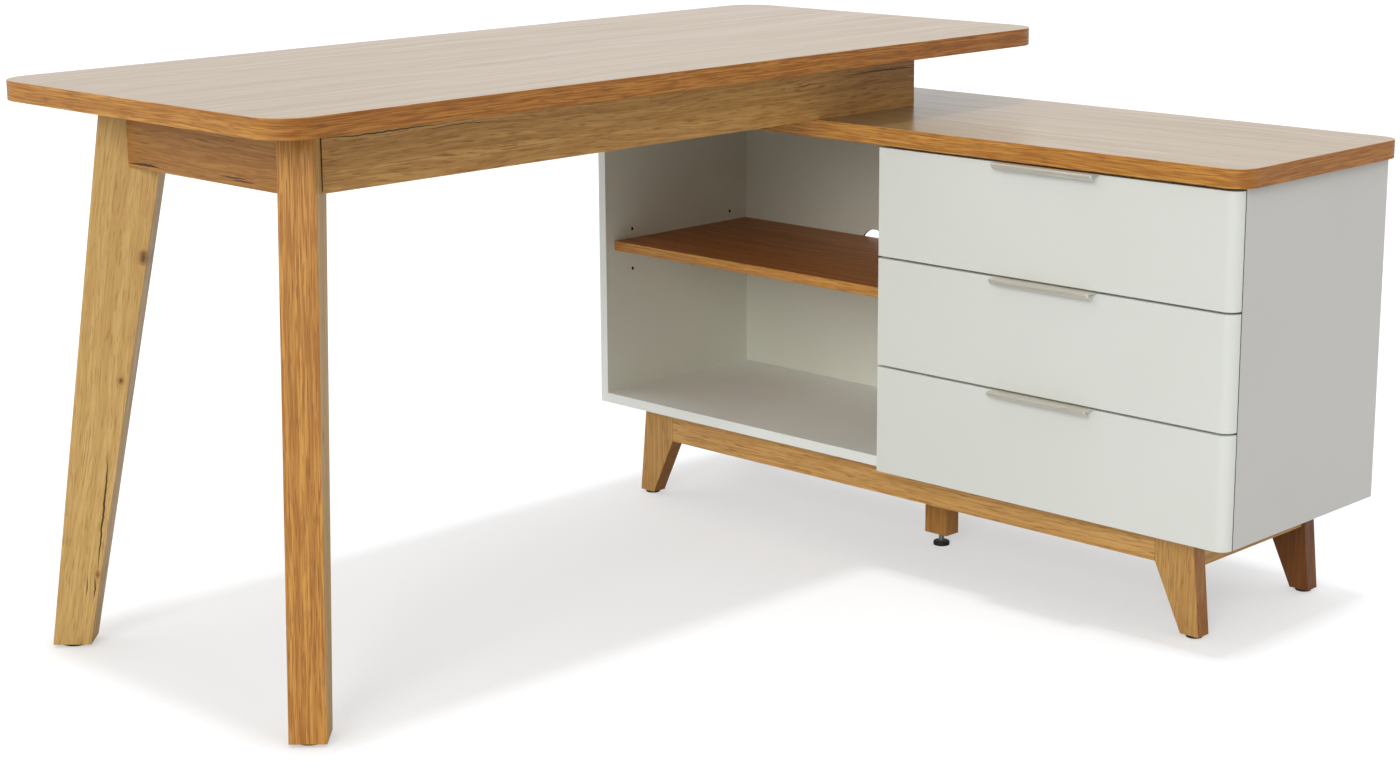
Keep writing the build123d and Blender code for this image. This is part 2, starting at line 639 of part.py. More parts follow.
def drawer(name, bottom):
    """One drawer: front, box, inner slide channels, pull and screws."""
    top = bottom + FRONT_HEIGHT
    back_face = FRONT_X + FRONT_THICKNESS
    front = block(FRONT_X, back_face, -CARCASS_END, FRONT_LEFT, bottom, top)
    corner = front.edges().filter_by(Axis.Z).group_by(Axis.X)[0].sort_by(Axis.Y)[0]
    front = fillet(corner, FRONT_ROUND_R)
    face_edges = [e for e in front.edges() if e.center().X < FRONT_X + FRONT_ROUND_R / 2]
    face_edges = [e for e in face_edges if not (e.geom_type == GeomType.LINE and abs(e.tangent_at(0).Z) > 0.5
                                                and e.center().Y < DRAWER_MIDDLE)]
    front = fillet(face_edges, FRONT_EDGE_R)
    right = BAY_RIGHT + RUNNER_GAP
    left = BAY_LEFT - RUNNER_GAP
    side_z0 = bottom + BOX_SIDE_BOTTOM
    side_z1 = side_z0 + BOX_SIDE_HEIGHT
    base_z0 = side_z0 + BOX_BOTTOM_RISE
    base_z1 = base_z0 + BOX_BOTTOM_THICKNESS
    groove = block(back_face - BOX_GROOVE - GROOVE_PLAY, BOX_BACK_X, right + BOX_SIDE - BOX_GROOVE - GROOVE_PLAY,
                   left - BOX_SIDE + BOX_GROOVE + GROOVE_PLAY, base_z0 - GROOVE_PLAY, base_z1 + GROOVE_PLAY)
    base = block(back_face - BOX_GROOVE, BOX_BACK_X, right + BOX_SIDE - BOX_GROOVE,
                 left - BOX_SIDE + BOX_GROOVE, base_z0, base_z1)
    sides = [
        block(back_face, BOX_BACK_X, right, right + BOX_SIDE, side_z0, side_z1),
        block(back_face, BOX_BACK_X, left - BOX_SIDE, left, side_z0, side_z1)]
    back = block(BOX_BACK_X - BOX_SIDE, BOX_BACK_X, right + BOX_SIDE, left - BOX_SIDE,
                 base_z1 + GROOVE_PLAY, side_z1)
    pull = edge_pull(top)
    screws = []
    for offset in (-PULL_SCREW_OFFSET, PULL_SCREW_OFFSET):
        start = (back_face + PULL_SHEET, DRAWER_MIDDLE + offset, top - PULL_SCREW_DROP)
        screws.append(bolt(start, (-1, 0, 0), PULL_SCREW_R, PULL_SCREW_LENGTH, 1.8 * PULL_SCREW_R, 1.5))
        hole = cutters.pop()
        front = front - hole
        pull = pull - hole
    return {
        f"drawer_{name}_front": front - groove,
        f"drawer_{name}_sides": group([eased(s, Axis.X, PANEL_EDGE_R) - groove for s in sides]),
        f"drawer_{name}_back": back,
        f"drawer_{name}_base": base,
        f"drawer_{name}_pull": pull,
        f"drawer_{name}_slides": group([drawer_channel(bottom, False), drawer_channel(bottom, True)]),
        f"drawer_{name}_screws": group(screws),
    }


# ---- assembly ---------------------------------------------------------------------------------

DRILLED = (
    "desktop_board", "apron_front", "apron_back", "end_rail_left", "end_rail_right", "desk_leg_front",
    "desk_leg_back", "cabinet_top_board", "side_panel_left", "side_panel_right", "bottom_panel",
    "partition", "plinth_rail_front", "plinth_rail_back", "plinth_cross_rail")


def build():
    """Every named piece of the corner desk."""
    pieces, screws = main_desk()
    pieces.update(cabinet())
    plinth_pieces, plinth_screws = plinth()
    pieces.update(plinth_pieces)
    pieces["wood_screws"] = group(screws + plinth_screws)
    for name in DRILLED:
        pieces[name] = drilled(pieces[name])
    pieces.update(levelling_foot())
    channels = []
    for index, name in enumerate(DRAWER_NAMES):
        bottom = CARCASS_BOTTOM + index * DRAWER_PITCH
        pieces.update(drawer(name, bottom))
        channels += [cabinet_channel(bottom, False), cabinet_channel(bottom, True)]
    pieces["runner_cabinet_channels"] = group(channels)
    return pieces


os.makedirs("parts", exist_ok=True)
for node, shape in build().items():
    export_step(shape, f"parts/{node}.step")
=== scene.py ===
"""Looks of a corner desk: its oak, lacquer, melamine and metal finishes, and its studio."""

import math
from functools import partial

import bpy
from bpy.props import FloatProperty, FloatVectorProperty, PointerProperty
from mathutils import Matrix, Vector


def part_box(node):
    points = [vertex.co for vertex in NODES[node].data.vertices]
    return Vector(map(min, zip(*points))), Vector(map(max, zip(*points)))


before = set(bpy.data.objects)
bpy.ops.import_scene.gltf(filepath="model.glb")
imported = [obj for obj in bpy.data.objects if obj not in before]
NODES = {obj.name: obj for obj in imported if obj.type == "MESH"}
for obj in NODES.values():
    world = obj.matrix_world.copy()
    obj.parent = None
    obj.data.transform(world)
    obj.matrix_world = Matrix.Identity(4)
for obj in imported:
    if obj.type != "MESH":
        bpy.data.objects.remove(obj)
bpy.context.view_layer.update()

bl_info = {
    "name": "Corner Desk Looks",
    "version": (1, 0, 0),
    "blender": (4, 5, 0),
    "location": "3D View > Sidebar > Corner Desk",
    "description": "Gives the corner desk its finishes and sets up its studio",
    "category": "Object",
}

DRAWERS = ("bottom", "middle", "top")
X, Y, Z = Vector((1, 0, 0)), Vector((0, 1, 0)), Vector((0, 0, 1))
MM = 0.001

# How far the grain of the tall and the short legs leans, as its run for each unit of height.
LEG_LEAN = 0.156
SHORT_LEG_LEAN = 0.30

# The oak's sizes in mm: length, width and depth of its slow waves and clouds, length of rings and pores.
GRAIN_WAVE = (420, 70, 70)
WOOD_CLOUD = (520, 60, 60)
RING_LENGTH = 700
PORE_LENGTH = 28

# A knot's halo, bark and heart: where each starts and where it is full, in radii, and how much it covers.
KNOT_HALO = (3.4, 0.8, 0.5)
KNOT_BARK = (1.3, 0.5, 0.6)
KNOT_HEART = (0.55, 0.2, 0.6)
# How much a knot's ragged outline wanders in all, in radii.
KNOT_RAGGED = 1.6

# A crack's soft edge, how much it covers, and how far its slow and quick bends wander in all, in metres.
CRACK_EDGE = 0.0003
CRACK_COVER = 0.92
SLOW_BEND = 0.006
QUICK_BEND = 0.0035

# The studio: half the floor's width, how far off the lamps hang, and the way to the white sweep.
FLOOR_REACH = 30.0
LAMP_DISTANCE = 3.0
SWEEP_WAY = (0.707, 0.707, 0.25)
# Each light's name, which is also its strength's setting, its angle in degrees and the way it shines.
LIGHTS = (
    ("overhead_light", 5, (0, 0, -1)),
    ("left_light", 28, (0.84, 0.40, -0.36)),
    ("front_light", 12, (0.08, 1, -1)),
)

MATH, VECTOR = "ShaderNodeMath", "ShaderNodeVectorMath"
MIX, RANGE = "ShaderNodeMixRGB", "ShaderNodeMapRange"
SMOOTH = {"interpolation_type": "SMOOTHSTEP"}


# ---------------------------------------------------------------- colours and nodes


def linear(hex_colour):
    """The linear RGBA values of an sRGB hex colour."""
    channels = [int(hex_colour[i:i + 2], 16) / 255 for i in (1, 3, 5)]
    return (*(c / 12.92 if c <= 0.04045 else ((c + 0.055) / 1.055) ** 2.4 for c in channels), 1.0)


def add_node(tree, kind, *inputs, output=0, named=None, **settings):
    """Adds a node with its settings, gives its inputs values or links, and returns one of its outputs."""
    node = tree.nodes.new(kind)
    for setting, value in settings.items():
        setattr(node, setting, value)
    for socket, value in [*enumerate(inputs), *(named or {}).items()]:
        if isinstance(value, bpy.types.NodeSocket):
            tree.links.new(value, node.inputs[socket])
        else:
            node.inputs[socket].default_value = value
    return node.outputs[output] if node.outputs else None


def start_material(name):
    """An empty node material and the function that adds nodes to it."""
    material = bpy.data.materials.new(name)
    material.use_nodes = True
    material.node_tree.nodes.clear()
    return material, partial(add_node, material.node_tree)


def close_material(add, surface, height, bump_mm, strength):
    """Ends a material with the principled shader; the height pattern becomes a bump of bump_mm."""
    bump = add("ShaderNodeBump", named={
        "Strength": strength, "Distance": bump_mm * MM, "Height": height})
    shader = add("ShaderNodeBsdfPrincipled", named={**surface, "Normal": bump})
    add("ShaderNodeOutputMaterial", shader)


def pattern(add, coords, sizes_mm, detail=2.0, roughness=0.5):
    """Random patches that are sizes_mm long, wide and deep along coords."""
    scaled = add(VECTOR, coords, tuple(1 / (size * MM) for size in sizes_mm), operation="MULTIPLY")
    return add("ShaderNodeTexNoise", named={
        "Vector": scaled, "Scale": 1.0, "Detail": detail, "Roughness": roughness})


def board_coords(add, along, across, shift):
    """Coordinates in metres that run along the grain, across it and into the board."""
    along, across = along.normalized(), across.normalized()
    turn = Matrix((along, across, along.cross(across))).to_euler()
    place = add("ShaderNodeTexCoord", output="Object")
    return add("ShaderNodeMapping", place, named={"Rotation": turn, "Location": shift})


def wrap_coords(add, shift):
    """Coordinates for a band glued round a board: round the edge, then up it."""
    place = add("ShaderNodeTexCoord", output="Object")
    x, y, z = (add("ShaderNodeSeparateXYZ", place, output=axis) for axis in "XYZ")
    coords = add("ShaderNodeCombineXYZ", add(MATH, x, y, operation="SUBTRACT"), z)
    return add("ShaderNodeMapping", coords, named={"Location": shift})


# ---------------------------------------------------------------- oak decor


def bend_round_knot(add, coords, knot):
    """Parts the grain round a knot; returns the new coordinates and the distance from its middle."""
    along, across, radius, stretch = knot
    offset = add(VECTOR, coords, (along, across, 0), operation="SUBTRACT")
    flat = add(VECTOR, offset, (1 / stretch, 1, 0), operation="MULTIPLY")
    distance = add(VECTOR, flat, output="Value", operation="LENGTH")
    near = add(MATH, radius, add(MATH, distance, radius, operation="MAXIMUM"), operation="DIVIDE")
    pull = add(MATH, near, 2, operation="POWER")
    sideways = add(VECTOR, offset, (0, 1, 0), operation="MULTIPLY")
    step = add(VECTOR, sideways, named={"Scale": pull}, operation="SCALE")
    return add(VECTOR, coords, step, operation="SUBTRACT"), distance


def crack_line(add, coords, wander, crack):
    """A thin drying crack that follows the grain and closes at both ends."""
    along, across, length, width = crack
    offset = add(VECTOR, coords, (along, across, 0), operation="SUBTRACT")
    x, y = (add("ShaderNodeSeparateXYZ", offset, output=axis) for axis in "XY")
    run = add(MATH, add(MATH, x, length / 2, operation="DIVIDE"), operation="ABSOLUTE")
    closing = add(MATH, 1, add(MATH, run, 2, operation="POWER"), operation="SUBTRACT")
    opening = add(MATH, closing, width / 2, operation="MULTIPLY")
    away = add(MATH, add(MATH, y, wander, operation="ADD"), operation="ABSOLUTE")
    inside = add(MATH, opening, away, operation="SUBTRACT")
    return add(RANGE, inside, -CRACK_EDGE, CRACK_EDGE, 0, CRACK_COVER, **SMOOTH)


def let_grain_drift(add, coords, flow_mm):
    """Moves the grain sideways in long waves, by at most flow_mm either way."""
    flow = add(MATH, pattern(add, coords, GRAIN_WAVE), 0.5, operation="SUBTRACT")
    drift = add(MATH, flow, flow_mm * MM * 2, operation="MULTIPLY")
    shift = add("ShaderNodeCombineXYZ", named={"Y": drift})
    return add(VECTOR, coords, shift, operation="ADD")


def darken_knots(add, colour, coords, marks, dark, pore, scar):
    """Colours every knot: a ragged halo, darker bark and a nearly black heart."""
    for distance, radius in marks:
        ripple = pattern(add, coords, (9, 5, 5), detail=3, roughness=0.6)
        centred = add(MATH, ripple, 0.5, operation="SUBTRACT")
        rough = add(MATH, centred, radius * KNOT_RAGGED, operation="MULTIPLY")
        ragged = add(MATH, distance, rough, operation="ADD")
        for (start, full, cover), tone in ((KNOT_HALO, dark), (KNOT_BARK, pore), (KNOT_HEART, scar)):
            ground = add(RANGE, ragged, radius * start, radius * full, 0, cover, **SMOOTH)
            colour = add(MIX, ground, colour, tone)
    return colour


def darken_cracks(add, colour, coords, cracks, scar):
    """Colours the drying cracks, which bend slowly with the grain and quickly from fibre to fibre."""
    slow = add(MATH, pattern(add, coords, (70, 60, 60), detail=1), 0.5, operation="SUBTRACT")
    quick = add(MATH, pattern(add, coords, (9, 30, 30), detail=3), 0.5, operation="SUBTRACT")
    wander = add(MATH, add(MATH, slow, SLOW_BEND, operation="MULTIPLY"),
                 add(MATH, quick, QUICK_BEND, operation="MULTIPLY"), operation="ADD")
    for crack in cracks:
        colour = add(MIX, crack_line(add, coords, wander, crack), colour, scar)
    return colour


def paint_shade_on_y_faces(add, colour, dark, share):
    """Paints shade on the faces that look along Y by multiplying their colour with the ring tone."""
    normal = add("ShaderNodeNewGeometry", output="Normal")
    facing = add(MATH, add("ShaderNodeSeparateXYZ", normal, output="Y"), operation="ABSOLUTE")
    shaded = add(RANGE, facing, 0.2, 0.9, 0, share, **SMOOTH)
    return add(MIX, shaded, colour, dark, blend_type="MULTIPLY")


def oak_decor(name, oak, tones, coords_of, rings=1.0, flow_mm=14.0, contrast=1.0, roughness=0.38,
              pore_share=0.5, knots=(), cracks=(), varnish=0.0, painted_y_face_shade=0.0,
              streak_length_mm=60.0, streaks=1.0, streak_share=0.4):
    """Printed oak decor under a satin varnish film.

    The print carries the annual rings, short dark pores, knots and drying cracks of slow-grown oak, and
    the film's light embossing breaks the highlights up along the grain. rings and streaks are the widths
    of this board's rings and streaks as shares of the usual ones."""
    material, add = start_material(name)
    light, dark, pore, scar = (tuple(tone) for tone in tones)
    ring_mm = rings * oak.ring_width / MM
    streak_mm = streaks * oak.streak_width / MM
    pore_mm = oak.pore_width / MM
    coords = coords_of(add)
    marks = []
    for knot in knots:
        coords, distance = bend_round_knot(add, coords, knot)
        marks.append((distance, knot[2]))
    grain = let_grain_drift(add, coords, flow_mm)

    cloud = pattern(add, grain, WOOD_CLOUD)
    ring = pattern(add, grain, (RING_LENGTH, ring_mm, ring_mm * 2), detail=3, roughness=0.62)
    streak = pattern(add, grain, (streak_length_mm, streak_mm, streak_mm * 3), detail=1.5)
    # Oak's pores are 0.3 mm wide; they are drawn as wide as pore_width so that they show.
    pores = pattern(add, grain, (PORE_LENGTH, pore_mm, pore_mm), detail=1)

    ring_part = add(RANGE, ring, 0.36, 0.66, 0, 0.7 * contrast, **SMOOTH)
    colour = add(MIX, ring_part, light, dark)
    streak_part = add(RANGE, streak, 0.44, 0.60, 0, streak_share * contrast, **SMOOTH)
    colour = add(MIX, streak_part, colour, dark)
    pore_part = add(RANGE, pores, 0.55, 0.70, 0, pore_share * contrast, **SMOOTH)
    colour = add(MIX, pore_part, colour, pore)
    colour = add(MIX, add(RANGE, cloud, 0.3, 0.7, 0, 0.22 * contrast, **SMOOTH), colour, dark)
    colour = darken_knots(add, colour, coords, marks, dark, pore, scar)
    if cracks:
        colour = darken_cracks(add, colour, coords, cracks, scar)
    # Painted shade: the faces that look along Y are darkened.
    if painted_y_face_shade:
        colour = paint_shade_on_y_faces(add, colour, dark, painted_y_face_shade)
    grooves = add(MATH, pore_part, streak_part, operation="ADD")
    height = add(MATH, add(MATH, ring, 0.5, operation="MULTIPLY"), grooves, operation="SUBTRACT")
    sheen = add(RANGE, ring, 0.3, 0.7, roughness - 0.04, roughness + 0.06, **SMOOTH)
    close_material(
        add, {"Base Color": colour, "Roughness": sheen, "IOR": 1.5, "Specular IOR Level": 0.32,
              "Coat Weight": varnish, "Coat Roughness": 0.22}, height, bump_mm=0.12, strength=0.35)
    return material


def along_board(along, across, shift):
    """Says how the grain of one board lies."""
    return lambda add: board_coords(add, along, across, shift)


def round_board(shift):
    """Says how the grain of a wrapped edge band lies."""
    return lambda add: wrap_coords(add, shift)


# ---------------------------------------------------------------- painted, plastic and metal finishes


def lacquer(name, colour, shade):
    """Sprayed satin lacquer on MDF: a smooth skin whose faint orange peel blurs reflections a little."""
    material, add = start_material(name)
    place = add("ShaderNodeTexCoord", output="Object")
    peel = pattern(add, place, (3, 3, 3))
    cloud = pattern(add, place, (240, 240, 240))
    tone = add(MIX, add(RANGE, cloud, 0.3, 0.7, 0, 0.5, **SMOOTH), tuple(colour), tuple(shade))
    gloss = add(RANGE, cloud, 0.3, 0.7, 0.34, 0.42, **SMOOTH)
    close_material(
        add, {"Base Color": tone, "IOR": 1.48, "Roughness": gloss}, peel, bump_mm=0.03, strength=0.25)
    return material


def melamine(name, colour, shade):
    """Melamine-faced chipboard pressed on a pearl plate: an even matt satin with a fine stipple."""
    material, add = start_material(name)
    place = add("ShaderNodeTexCoord", output="Object")
    # The pearl stipple is 0.3 mm in reality; it is drawn 1.8 mm wide so that it shows.
    stipple = pattern(add, place, (1.8, 1.8, 1.8), detail=1)
    cloud = pattern(add, place, (180, 180, 180), detail=3)
    tone = add(MIX, add(RANGE, cloud, 0.3, 0.7, 0, 0.6, **SMOOTH), tuple(colour), tuple(shade))
    tone = add(MIX, add(RANGE, stipple, 0.5, 0.8, 0, 0.12, **SMOOTH), tone, tuple(shade))
    close_material(
        add, {"Base Color": tone, "IOR": 1.5, "Roughness": 0.5}, stipple, bump_mm=0.05, strength=0.3)
    return material


def raw_chipboard(name, colour, shade):
    """Drilled chipboard: dark pressed crumbs of wood that swallow the light inside a hole."""
    material, add = start_material(name)
    place = add("ShaderNodeTexCoord", output="Object")
    crumbs = pattern(add, place, (2.5, 2.5, 2.5), detail=4, roughness=0.7)
    tone = add(MIX, add(RANGE, crumbs, 0.35, 0.65, **SMOOTH), tuple(colour), tuple(shade))
    close_material(
        add, {"Base Color": tone, "IOR": 1.5, "Roughness": 0.9}, crumbs, bump_mm=0.4, strength=0.7)
    return material


def brushed_metal(name, colour, shade, along, metallic, roughness):
    """Metal brushed along its length: the fine lines stretch its highlights across the brushing."""
    material, add = start_material(name)
    coords = board_coords(add, along, Z, (0, 0, 0))
    # Brush lines are 0.1 mm wide; they are drawn 1.4 mm wide so that they show.
    lines = pattern(add, coords, (60, 1.4, 1.4))
    tone = add(MIX, add(RANGE, lines, 0.3, 0.7, **SMOOTH), tuple(colour), tuple(shade))
    gloss = add(RANGE, lines, 0.3, 0.7, roughness - 0.05, roughness + 0.07, **SMOOTH)
    close_material(
        add, {"Base Color": tone, "Metallic": metallic, "Roughness": gloss}, lines, bump_mm=0.02,
        strength=0.3)
    return material


def zinc_plate(name, colour, shade):
    """Bright zinc plating on pressed steel: bluish grey with soft mottling."""
    material, add = start_material(name)
    place = add("ShaderNodeTexCoord", output="Object")
    mottle = pattern(add, place, (6, 6, 6), detail=4, roughness=0.6)
    tone = add(MIX, add(RANGE, mottle, 0.3, 0.7, **SMOOTH), tuple(colour), tuple(shade))
    gloss = add(RANGE, mottle, 0.3, 0.7, 0.28, 0.45, **SMOOTH)
    close_material(
        add, {"Base Color": tone, "Metallic": 1.0, "Roughness": gloss}, mottle, bump_mm=0.02,
        strength=0.2)
    return material


def moulded_plastic(name, colour, shade):
    """Injection-moulded polyethylene with a fine spark-eroded texture, scuffed a little paler."""
    material, add = start_material(name)
    place = add("ShaderNodeTexCoord", output="Object")
    texture = pattern(add, place, (1.2, 1.2, 1.2))
    scuffs = pattern(add, place, (14, 14, 5), detail=4, roughness=0.65)
    tone = add(MIX, add(RANGE, scuffs, 0.5, 0.75, **SMOOTH), tuple(colour), tuple(shade))
    gloss = add(RANGE, scuffs, 0.3, 0.7, 0.5, 0.66, **SMOOTH)
    close_material(
        add, {"Base Color": tone, "IOR": 1.49, "Roughness": gloss}, texture, bump_mm=0.06, strength=0.5)
    return material


# ---------------------------------------------------------------- helpers for the pieces


def dress(names, *finishes, choose=None):
    """Gives CAD nodes their finishes; choose says which one a face takes."""
    for name in names:
        mesh = NODES[name].data
        mesh.materials.clear()
        for finish in finishes:
            mesh.materials.append(finish)
        for face in mesh.polygons:
            face.material_index = choose(face) if choose else 0


def colour_prop(name, description, hex_colour):
    """A colour the user can change."""
    return FloatVectorProperty(
        name=name, description=description, default=linear(hex_colour), size=4, min=0, max=1,
        subtype="COLOR")


# ---------------------------------------------------------------- settings


class CORNERDESK_PG_oak(bpy.types.PropertyGroup):
    """Colours and scales of the oak decor."""
    leg_light: colour_prop("Leg early wood", "Ground tone of the tall legs' decor", "#D9B572")
    leg_dark: colour_prop("Leg late wood", "Ring tone of the tall legs' decor", "#BF9656")
    rail_light: colour_prop("Rail early wood", "Ground tone of the rails' decor", "#DDAE69")
    rail_dark: colour_prop("Rail late wood", "Ring tone of the rails' decor", "#B78445")
    # Painted shade: the end rails and the centre post take a darker copy of the rail oak, standing in for
    # the shade they stand in.
    end_light: colour_prop("End rail early wood", "Ground tone of the end rails and post", "#C08C48")
    end_dark: colour_prop("End rail late wood", "Ring tone of the end rails and post", "#9E682C")
    short_light: colour_prop("Short leg early wood", "Ground tone of the cabinet's front legs", "#D0A564")
    short_dark: colour_prop("Short leg late wood", "Ring tone of the cabinet's front legs", "#B58445")
    # Painted shade: the back legs take a much darker copy of the short legs' oak, standing in for the
    # shade under the cabinet.
    back_light: colour_prop("Back leg early wood", "Ground tone of the cabinet's back legs", "#85532A")
    back_dark: colour_prop("Back leg late wood", "Ring tone of the cabinet's back legs", "#653A18")
    shelf_light: colour_prop("Shelf early wood", "Ground tone of the shelf's decor", "#BB711B")
    shelf_dark: colour_prop("Shelf late wood", "Ring tone of the shelf's decor", "#9E5A12")
    pore: colour_prop("Pores", "Tone of pores and knots", "#7A4E26")
    scar: colour_prop("Cracks", "Tone of drying cracks", "#38200F")
    band_light: colour_prop("Band ground", "Ground tone of the edge band", "#D99F4C")
    band_dark: colour_prop("Band streaks", "Streak tone of the edge band", "#A66B2A")
    band_pore: colour_prop("Band pores", "Pore tone of the edge band", "#6B3F1C")
    top_light: colour_prop("Top ground", "Ground tone of the worktops", "#9A7F54")
    top_dark: colour_prop("Top rings", "Ring tone of the worktops", "#826843")
    ring_width: FloatProperty(
        name="Ring width", description="Width of one annual ring", default=0.007, min=0.0005,
        unit="LENGTH")
    streak_width: FloatProperty(
        name="Streak width", description="Width of the darker streaks in the grain",
        default=0.0028, min=0.0005, unit="LENGTH")
    pore_width: FloatProperty(
        name="Pore width", description="Width that the pores are drawn at", default=0.0018,
        min=0.0002, unit="LENGTH")


class CORNERDESK_PG_paint(bpy.types.PropertyGroup):
    """Colours of the lacquer, melamine, plastic and metal."""
    front: colour_prop("Front lacquer", "Greyish white of the drawer fronts", "#E3E7E2")
    front_shade: colour_prop("Front lacquer shade", "Its slightly darker clouding", "#DFE4DE")
    carcass: colour_prop("Carcass melamine", "Light grey of the cabinet's outside", "#CFCFCC")
    carcass_shade: colour_prop("Carcass shade", "Its slightly darker clouding", "#CBCBC8")
    inside: colour_prop("Inside melamine", "Greenish grey of the bay's walls", "#E1E3D7")
    inside_shade: colour_prop("Inside shade", "Its slightly darker clouding", "#DCDED1")
    edge: colour_prop("Edge melamine", "White of the front edges and the bay's floor", "#F2F7F3")
    edge_shade: colour_prop("Edge shade", "Its slightly darker clouding", "#ECF2ED")
    # Painted shade: a dark grey on the right side panel's front edge stands in for the shade in the gap
    # behind the drawer fronts.
    seam: colour_prop("Buffer strip", "Grey strip that the drawer fronts close on", "#66665F")
    gap_shade_clouding: colour_prop("Buffer strip shade", "Its slightly darker clouding", "#5C5C56")
    core: colour_prop("Chipboard", "Pressed crumbs in the drilled holes", "#5B4028")
    core_shade: colour_prop("Chipboard shade", "Darker crumbs in the drilled holes", "#2E1F12")
    box: colour_prop("Drawer box melamine", "Light grey of the drawer boxes", "#C9C8C2")
    box_shade: colour_prop("Drawer box shade", "Its slightly darker clouding", "#C2C1BA")
    nickel: colour_prop("Satin nickel", "Warm grey of the pulls", "#E6E3DA")
    nickel_shade: colour_prop("Nickel shade", "Tone in the brush lines", "#CFCBC0")
    zinc: colour_prop("Zinc", "Bright tone of the zinc plating", "#BDC1C4")
    zinc_shade: colour_prop("Zinc shade", "Dull tone of the zinc plating", "#999EA3")
    plastic: colour_prop("Glide plastic", "Black-brown of the glides", "#1D1714")
    plastic_shade: colour_prop("Glide scuffs", "Paler scuffed tone of the glides", "#3A322C")
    beech: colour_prop("Beech", "Planed beech of the corner blocks", "#CDA77C")
    beech_dark: colour_prop("Beech rings", "Ring tone of the beech", "#B58C5F")


class CORNERDESK_PG_stage(bpy.types.PropertyGroup):
    """The studio: floor, lights and camera."""
    floor: colour_prop("Floor", "Pale studio floor", "#C8CACD")
    sky: colour_prop("Surround", "White studio surround", "#FFFFFF")
    sky_strength: FloatProperty(
        name="Surround strength", description="Brightness of the surround", default=1.0, min=0)
    room: colour_prop("Room", "Dim, warm room in front of the desk", "#A0978A")
    floor_glow: FloatProperty(
        name="Floor glow", description="Brightness of the floor's own light", default=0.45, min=0)
    overhead_light: FloatProperty(
        name="Overhead light", description="Strength of the overhead light", default=1.0, min=0)
    left_light: FloatProperty(
        name="Left light", description="Strength of the light from the left", default=1.4, min=0)
    front_light: FloatProperty(
        name="Front light", description="Strength of the light from the front", default=0.1, min=0)
    camera_place: FloatVectorProperty(
        name="Camera place", description="Where the camera stands",
        default=(-2.367, -2.281, 1.124), subtype="TRANSLATION", unit="LENGTH")
    heading: FloatProperty(
        name="Heading", description="Camera heading from the X axis",
        default=math.radians(44.35), unit="ROTATION")
    dip: FloatProperty(
        name="Dip", description="How far the camera looks down",
        default=math.radians(12.38), unit="ROTATION")
    roll: FloatProperty(
        name="Roll", description="Camera roll", default=math.radians(-0.35), unit="ROTATION")
    lens: FloatProperty(
        name="Lens", description="Focal length", default=65.3, unit="CAMERA")
    rise: FloatProperty(
        name="Lens rise", description="Vertical lens shift, as a share of the picture's width",
        default=-0.04)


class CORNERDESK_PG_settings(bpy.types.PropertyGroup):
    """All settings of the desk's looks."""
    oak: PointerProperty(type=CORNERDESK_PG_oak)
    paint: PointerProperty(type=CORNERDESK_PG_paint)
    stage: PointerProperty(type=CORNERDESK_PG_stage)


def oak_tones(oak, part):
    """The ground, ring, pore and crack tones of one part's oak decor."""
    pore = oak.band_pore if part == "band" else oak.pore
    return getattr(oak, f"{part}_light"), getattr(oak, f"{part}_dark"), pore, oak.scar


# ---------------------------------------------------------------- pieces


class CORNERDESK_OT_tops(bpy.types.Operator):
    """Finish the desktop, the cabinet top and their edge bands."""
    bl_idname = "corner_desk.tops"
    bl_label = "Worktops"

    def execute(self, context):
        oak = context.scene.corner_desk.oak
        for board, along, across, shift in (
                ("desktop_board", X, Y, (3.1, 0.4, 0.0)), ("cabinet_top_board", Y, X, (7.7, 1.3, 0.0))):
            dress([board], oak_decor(
                f"oak_decor_{board}", oak, oak_tones(oak, "top"), along_board(along, across, shift),
                rings=1.7, flow_mm=50, contrast=0.42, roughness=0.33, varnish=0.5,
                streaks=1.2, streak_share=0.5))
        # The bands' faces that look along Y get painted shade.
        for band, shift in (("desktop_edge_band", (0.6, 0, 0)), ("cabinet_top_edge_band", (5.2, 0, 0))):
            dress([band], oak_decor(
                f"oak_{band}", oak, oak_tones(oak, "band"), round_board(shift), rings=0.7, flow_mm=9,
                contrast=0.95, roughness=0.4, pore_share=0.5, painted_y_face_shade=0.38,
                streaks=0.75, streak_share=0.9))
        return {"FINISHED"}


